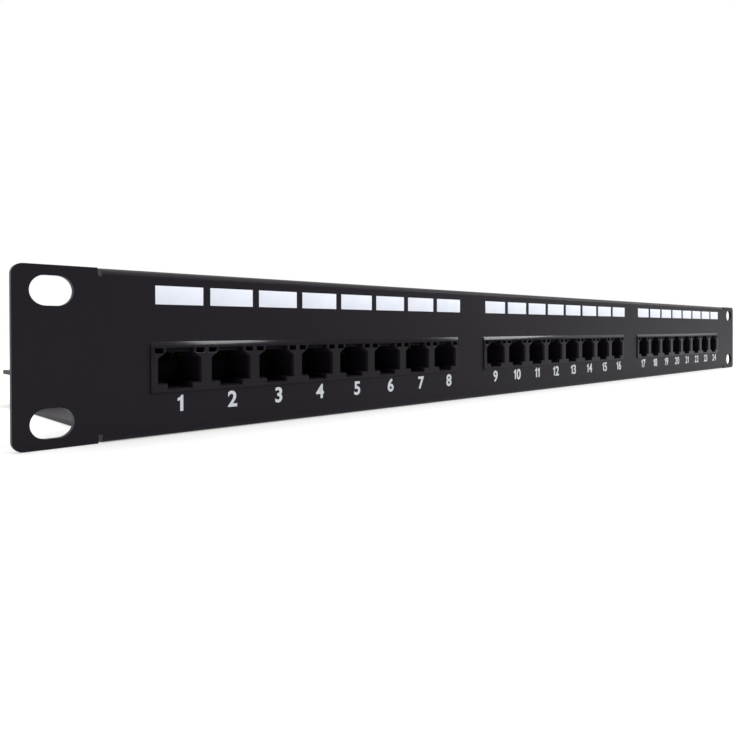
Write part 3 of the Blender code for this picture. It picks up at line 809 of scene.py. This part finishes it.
def studio_light():
    """White light all round, dimmer from the front and brighter from overhead."""
    world = bpy.data.worlds.new("studio")
    world.use_nodes = True
    tree = world.node_tree
    place = tree.nodes.new("ShaderNodeTexCoord")
    parts = tree.nodes.new("ShaderNodeSeparateXYZ")
    tree.links.new(place.outputs["Generated"], parts.inputs["Vector"])
    total = tree.nodes.new("ShaderNodeMath")
    total.operation = "ADD"
    levels = (("Y", *FRONT_LIGHT), ("Z", *OVERHEAD_LIGHT))
    for slot, (axis, (start, end), (low, high)) in enumerate(levels):
        share = tree.nodes.new("ShaderNodeMapRange")
        share.inputs["From Min"].default_value = start
        share.inputs["From Max"].default_value = end
        share.inputs["To Min"].default_value = low
        share.inputs["To Max"].default_value = high
        tree.links.new(parts.outputs[axis], share.inputs["Value"])
        tree.links.new(share.outputs["Result"], total.inputs[slot])
    tree.nodes["Background"].inputs["Color"].default_value = (1.0, 1.0, 1.0, 1.0)
    tree.links.new(total.outputs["Value"], tree.nodes["Background"].inputs["Strength"])
    return world


def build_backdrop():
    """A plain white shell round the studio. The camera sees it, and it neither lights nor shades anything."""
    bm = bmesh.new()
    bmesh.ops.create_uvsphere(bm, u_segments=32, v_segments=16, radius=BACKDROP_RADIUS)
    white = Nodes("backdrop_white")
    white.shader.inputs["Base Color"].default_value = (0.0, 0.0, 0.0, 1.0)
    white.shader.inputs["Specular IOR Level"].default_value = 0.0
    white.shader.inputs["Emission Color"].default_value = (1.0, 1.0, 1.0, 1.0)
    white.shader.inputs["Emission Strength"].default_value = 1.0
    shell = finish(bm, "backdrop", white.material)
    shell.visible_diffuse = False
    shell.visible_glossy = False
    shell.visible_transmission = False
    shell.visible_shadow = False


def build_stage():
    """A pale matt floor with a faint glow of its own, the backdrop, the studio light and the softboxes."""
    bm = bmesh.new()
    bmesh.ops.create_grid(bm, x_segments=1, y_segments=1, size=FLOOR_HALF)
    matte = Nodes("studio_floor")
    matte.shader.inputs["Base Color"].default_value = (FLOOR_GREY, FLOOR_GREY, FLOOR_GREY, 1.0)
    matte.shader.inputs["Emission Color"].default_value = (1.0, 1.0, 1.0, 1.0)
    matte.shader.inputs["Emission Strength"].default_value = FLOOR_GLOW
    matte.shader.inputs["Roughness"].default_value = 1.0
    matte.shader.inputs["Specular IOR Level"].default_value = 0.0
    floor = finish(bm, "floor", matte.material)
    floor.location.z = -FLOOR_DROP
    build_backdrop()
    bpy.context.scene.world = studio_light()
    for name, (place, size, energy) in SOFTBOXES.items():
        add_softbox(name, place, size, energy)


def add_softbox(name, place, size, energy):
    """A square area light that faces the middle of the panel."""
    light = bpy.data.lights.new(name, "AREA")
    light.size = size
    light.energy = energy
    lamp = bpy.data.objects.new(name, light)
    lamp.location = place
    lamp.rotation_euler = (-Vector(place)).to_track_quat("-Z", "Y").to_euler()
    bpy.context.scene.collection.objects.link(lamp)


def build_camera():
    data = bpy.data.cameras.new("camera")
    data.sensor_width = CAMERA_SENSOR
    data.lens = CAMERA_LENS
    data.shift_y = CAMERA_SHIFT
    data.clip_start = 0.01
    data.clip_end = 50.0
    camera = bpy.data.objects.new("camera", data)
    bpy.context.scene.collection.objects.link(camera)
    camera.location = CAMERA_PLACE
    turn = Matrix.Rotation(-CAMERA_YAW, 4, "Z") @ Matrix.Rotation(math.radians(90) + CAMERA_PITCH, 4, "X")
    camera.rotation_euler = (turn @ Matrix.Rotation(CAMERA_ROLL, 4, "Z")).to_euler()
    bpy.context.scene.camera = camera
    bpy.context.scene.view_settings.view_transform = "Standard"


build_camera()
build_stage()
dress_frame_node("front_panel", POWDER_COAT, PANEL_EDGE)
dress_frame_node("cable_tray", POWDER_COAT, TRAY_EDGE)
build_housings()
build_contacts()
build_labels()
build_numbers()
for board in range(GROUPS):
    dress_frame_node(f"circuit_board_{board + 1}", SOLDER_MASK, BOARD_EDGE)
build_screws()
build_punch_down_blocks()
build_solder_joints()
